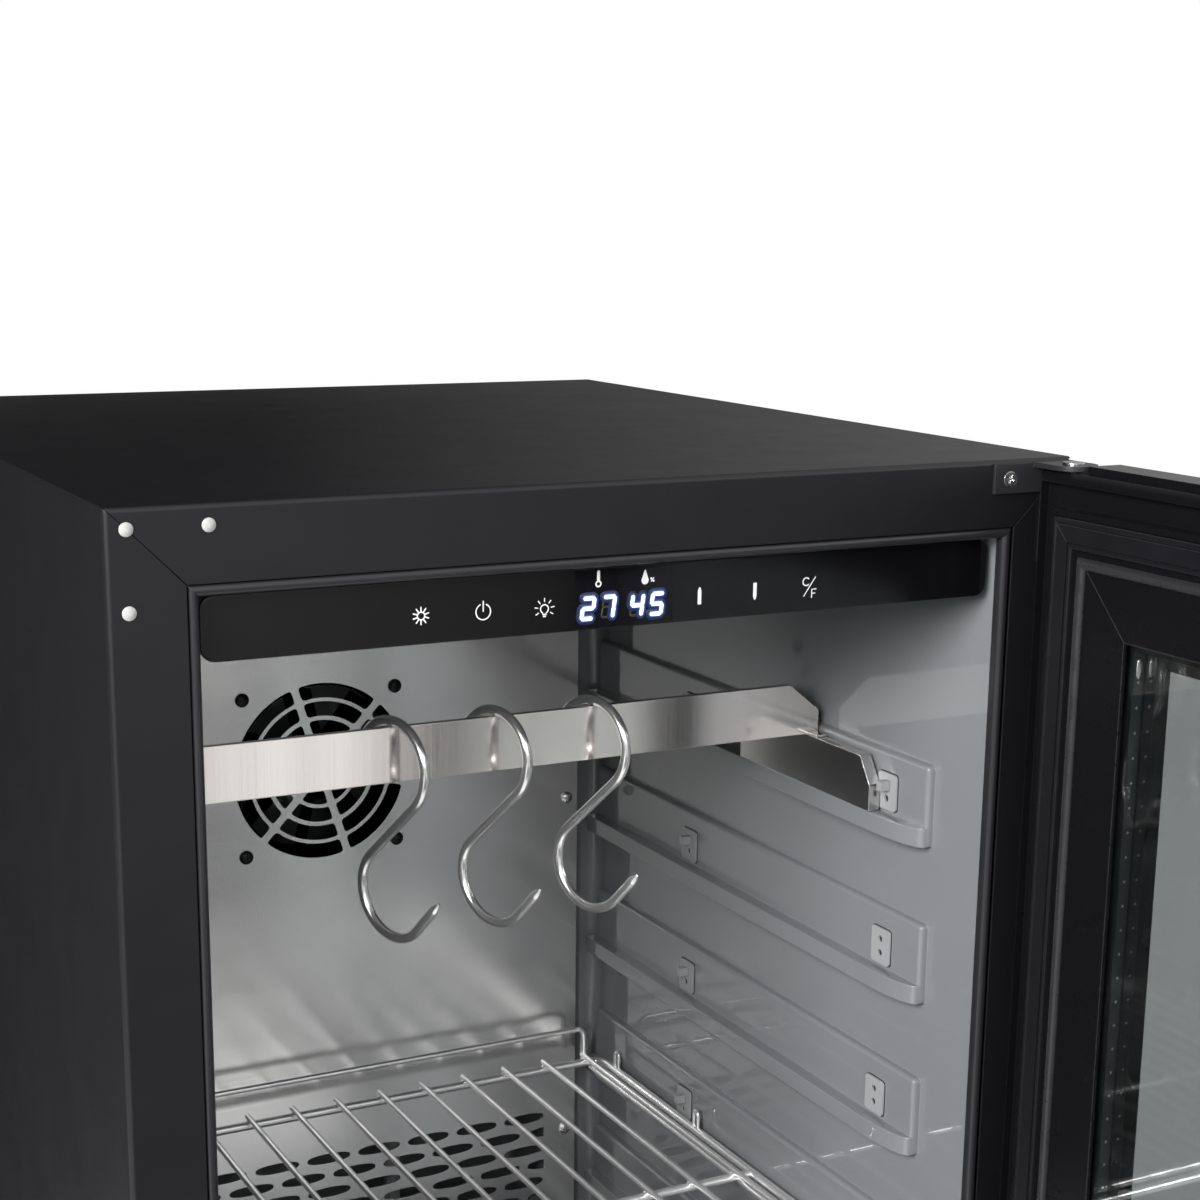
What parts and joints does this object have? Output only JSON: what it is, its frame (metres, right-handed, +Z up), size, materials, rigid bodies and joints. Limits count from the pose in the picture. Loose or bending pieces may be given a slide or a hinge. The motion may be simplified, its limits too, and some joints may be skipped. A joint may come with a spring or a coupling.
{
  "type": "meat dry ageing cabinet",
  "caption": "Undercounter meat dry ageing cabinet: black casing, moulded grey chamber with ledges, hanging rail with S hooks, wire shelf, fan cover and a triple-glazed door standing open.",
  "frame": {"origin": "on the floor, mid-width, in the plane of the front flange", "axes": "+X to the right seen from the front, +Y into the cabinet, +Z up; the door is stored open"},
  "size_m": [0.543, 1.0415, 0.84],
  "materials": {
    "casing_black": "satin black powder coat",
    "rear_black": "matt black coat",
    "base_grey": "dark zinc-plated sheet",
    "grille_black": "fine-grained black plastic",
    "foam_cream": "rigid foam",
    "liner_grey": "glossy moulded grey plastic",
    "trim_dark": "glossy dark bead",
    "inlet_black": "black plastic with metal contacts",
    "foot_black": "black plastic",
    "clip_grey": "satin light grey plastic",
    "stainless": "brushed stainless steel",
    "screw_steel": "plain steel",
    "fan_black": "black plastic",
    "screw_black": "black screws",
    "fin_aluminium": "plain aluminium fins",
    "trough_grey": "light grey plastic",
    "sensor_white": "white plastic",
    "housing_black": "black plastic",
    "fascia_gloss": "high gloss black",
    "board_green": "green board with dark display block",
    "lamp_white": "milky white cover",
    "compressor_black": "black enamel",
    "mount_rubber": "black rubber",
    "condenser_black": "black coated fins",
    "copper": "plain copper pipe",
    "tray_grey": "dark grey plastic",
    "chrome_wire": "bright chromed wire",
    "hinge_black": "black coat",
    "plug_white": "white plastic",
    "frame_black": "satin black profile",
    "pane_clear": "clear glass",
    "pane_tinted": "dark tinted glass",
    "spacer_grey": "dark spacer profile",
    "bead_grey": "dark grey bead",
    "gasket_black": "soft dark gasket",
    "bush_ivory": "ivory plastic",
    "handle_steel": "brushed steel"
  },
  "bodies": {
    "cabinet": {"left_side_panel": "casing_black", "right_side_panel": "casing_black", "top_panel": "casing_black", "front_crossrail": "casing_black", "back_panel": "rear_black", "rear_bay_cover": "rear_black", "base_pan": "base_grey", "kick_grille": "grille_black", "insulation_foam": "foam_cream", "inner_liner": "liner_grey", "opening_trim": "trim_dark", "power_inlet": "inlet_black", "rear_feet": "foot_black", "clip_plates": "clip_grey", "clip_pegs": "clip_grey", "evaporator_cover": "stainless", "cover_screws": "screw_steel", "hinge_screws": "screw_steel", "hinge_pins": "screw_steel", "fan_frame": "fan_black", "condenser_fan_frame": "fan_black", "fan_screws": "screw_black", "evaporator": "fin_aluminium", "drip_trough": "trough_grey", "sensor_probe": "sensor_white", "control_housing": "housing_black", "control_fascia": "fascia_gloss", "display_board": "board_green", "interior_lamp": "lamp_white", "compressor": "compressor_black", "compressor_mounts": "mount_rubber", "condenser": "condenser_black", "refrigerant_pipes": "copper", "evaporating_tray": "tray_grey", "top_hinge_bracket": "hinge_black", "bottom_hinge_bracket": "hinge_black", "hinge_plugs": "plug_white"},
    "door": {"door_hinge_stile": "frame_black", "door_handle_stile": "frame_black", "door_top_rail": "frame_black", "door_bottom_rail": "frame_black", "outer_glass": "pane_tinted", "middle_glass": "pane_clear", "inner_glass": "pane_clear", "glass_spacers": "spacer_grey", "glazing_bead": "bead_grey", "door_gasket": "gasket_black", "hinge_bushes": "bush_ivory", "door_handle": "handle_steel"},
    "circulation_fan": {"fan_rotor": "fan_black"},
    "condenser_fan": {"condenser_fan_rotor": "fan_black"},
    "shelf": {"wire_shelf": "chrome_wire", "shelf_upstand": "chrome_wire"},
    "hanging_rail": {"hanging_bar": "stainless", "rail_brackets": "stainless"},
    "hook_left": {"left_hook": "chrome_wire"},
    "hook_middle": {"middle_hook": "chrome_wire"},
    "hook_right": {"right_hook": "chrome_wire"},
    "foot_left": {"front_left_foot": "foot_black"},
    "foot_right": {"front_right_foot": "foot_black"}
  },
  "joints": [
    {"name": "door_hinge", "type": "hinge", "parent": "cabinet", "child": "door", "pos_m": [0.2345, -0.018, 0.4661], "axis": [0, 0, 1], "range_deg": [-90, 15]},
    {"name": "circulation_fan_spin", "type": "hinge", "parent": "cabinet", "child": "circulation_fan", "pos_m": [0, 0.4487, 0.599], "axis": [0, 1, 0], "continuous": true},
    {"name": "condenser_fan_spin", "type": "hinge", "parent": "cabinet", "child": "condenser_fan", "pos_m": [-0.1625, 0.441, 0.10575], "axis": [1, 0, 0], "continuous": true},
    {"name": "shelf_slide", "type": "slide", "parent": "cabinet", "child": "shelf", "axis": [0, -1, 0], "range_m": [0, 0.07]},
    {"name": "rail_slide", "type": "slide", "parent": "cabinet", "child": "hanging_rail", "axis": [0, 1, 0], "range_m": [0, 0.055]},
    {"name": "hook_left_slide", "type": "slide", "parent": "hanging_rail", "child": "hook_left", "axis": [1, 0, 0], "range_m": [-0.1, 0.01]},
    {"name": "hook_middle_slide", "type": "slide", "parent": "hanging_rail", "child": "hook_middle", "axis": [1, 0, 0], "range_m": [-0.01, 0.01]},
    {"name": "hook_right_slide", "type": "slide", "parent": "hanging_rail", "child": "hook_right", "axis": [1, 0, 0], "range_m": [-0.01, 0.1]},
    {"name": "foot_left_turn", "type": "hinge", "parent": "cabinet", "child": "foot_left", "pos_m": [-0.2025, 0.045, 0.02], "axis": [0, 0, 1], "continuous": true},
    {"name": "foot_right_turn", "type": "hinge", "parent": "cabinet", "child": "foot_right", "pos_m": [0.2025, 0.045, 0.02], "axis": [0, 0, 1], "continuous": true}
  ]
}
